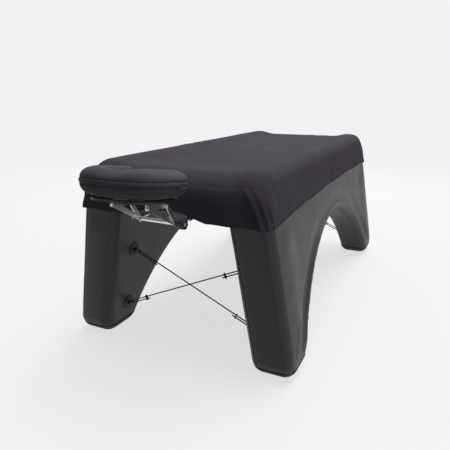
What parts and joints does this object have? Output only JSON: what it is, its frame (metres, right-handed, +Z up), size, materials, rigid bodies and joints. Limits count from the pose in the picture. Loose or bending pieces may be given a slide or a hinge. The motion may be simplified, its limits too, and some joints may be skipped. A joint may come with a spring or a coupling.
{
  "type": "inflatable massage table",
  "caption": "Inflatable portable massage table with arched side chambers, crossed brace cords, fitted sheet and adjustable face cradle.",
  "frame": {"origin": "on the floor under the middle of the whole object's box, cradle included", "axes": "+X across the table to the side with the clamp knob, +Y from the head end to the foot end, +Z up"},
  "size_m": [0.9644, 2.1059, 0.7866],
  "materials": {
    "chamber_fabric": "matte",
    "sole_rubber": "matte",
    "patch_rubber": "matte",
    "ring_steel": "satin",
    "cord": "matte",
    "black_plastic": "satin",
    "sheet_fabric": "matte",
    "aluminium": "satin",
    "steel": "satin",
    "plate_board": "satin",
    "hook_pad": "matte",
    "cushion_cover": "matte"
  },
  "bodies": {
    "table": {"brace_cord_foot_falling": "cord", "brace_cord_foot_rising": "cord", "brace_cord_head_falling": "cord", "brace_cord_head_rising": "cord", "cradle_sleeve_left": "patch_rubber", "cradle_sleeve_right": "patch_rubber", "deck_chamber": "chamber_fabric", "fitted_sheet": "sheet_fabric", "left_side_chamber": "chamber_fabric", "line_adjusters_foot_falling": "black_plastic", "line_adjusters_foot_rising": "black_plastic", "line_adjusters_head_falling": "black_plastic", "line_adjusters_head_rising": "black_plastic", "right_side_chamber": "chamber_fabric", "ring_patches_foot_left": "patch_rubber", "ring_patches_foot_right": "patch_rubber", "ring_patches_head_left": "patch_rubber", "ring_patches_head_right": "patch_rubber", "rings_foot_left": "ring_steel", "rings_foot_right": "ring_steel", "rings_head_left": "ring_steel", "rings_head_right": "ring_steel", "sole_pad_foot_left": "sole_rubber", "sole_pad_foot_right": "sole_rubber", "sole_pad_head_left": "sole_rubber", "sole_pad_head_right": "sole_rubber", "valve_body": "black_plastic"},
    "cradle_base": {"base_bracket_left": "black_plastic", "base_bracket_right": "black_plastic", "cradle_post_left": "aluminium", "cradle_post_right": "aluminium", "crossbar": "aluminium", "friction_washers_left": "black_plastic", "friction_washers_right": "black_plastic", "post_plug_left": "black_plastic", "post_plug_right": "black_plastic"},
    "clamp": {"clamp_bolt_head": "steel", "clamp_knob": "black_plastic", "clamp_nut": "steel", "clamp_rod": "steel"},
    "arms": {"cradle_arm_left": "aluminium", "cradle_arm_right": "aluminium"},
    "platform": {"hook_pad": "hook_pad", "pivot_bolts_left": "steel", "pivot_bolts_right": "steel", "pivot_spacer_left": "steel", "pivot_spacer_right": "steel", "plate_screws_left": "steel", "plate_screws_right": "steel", "platform_angle_left": "aluminium", "platform_angle_right": "aluminium", "platform_plate": "plate_board"},
    "stays": {"cradle_stay_left": "aluminium", "cradle_stay_right": "aluminium"},
    "cushion": {"face_cushion": "cushion_cover"},
    "valve_cap": {"valve_cap": "black_plastic"},
    "valve_poppet": {"valve_poppet": "black_plastic"}
  },
  "joints": [
    {"name": "cradle_slide", "type": "slide", "parent": "table", "child": "cradle_base", "axis": [0, -1, 0], "range_m": [0, 0.12]},
    {"name": "clamp_turn", "type": "hinge", "parent": "cradle_base", "child": "clamp", "pos_m": [0, -0.78229, 0.566], "axis": [1, 0, 0], "range_deg": [0, 180]},
    {"name": "arm_lift", "type": "hinge", "parent": "cradle_base", "child": "arms", "pos_m": [0, -0.78229, 0.566], "axis": [-1, 0, 0], "range_deg": [-30, 10]},
    {"name": "platform_tilt", "type": "hinge", "parent": "arms", "child": "platform", "pos_m": [0, -0.92764, 0.64823], "axis": [1, 0, 0], "range_deg": [-12, 2]},
    {"name": "stay_swing", "type": "hinge", "parent": "platform", "child": "stays", "pos_m": [0, -0.82938, 0.63617], "axis": [1, 0, 0], "range_deg": [-4, 24]},
    {"name": "cushion_lift", "type": "slide", "parent": "platform", "child": "cushion", "axis": [0, 0.1219, 0.9925], "range_m": [0, 0.1]},
    {"name": "valve_cap_turn", "type": "hinge", "parent": "table", "child": "valve_cap", "pos_m": [0.29223, 0.82071, 0.21], "axis": [-0.9854, 0, -0.1702], "range_deg": [0, 90]},
    {"name": "valve_push", "type": "slide", "parent": "table", "child": "valve_poppet", "axis": [0.9854, 0, 0.1702], "range_m": [0, 0.005], "stiffness_N_per_m": 600, "springref_m": -0.003}
  ],
  "couplings": [
    {"joint": "stay_swing", "follows": "platform_tilt", "ratio": -1.963}
  ]
}
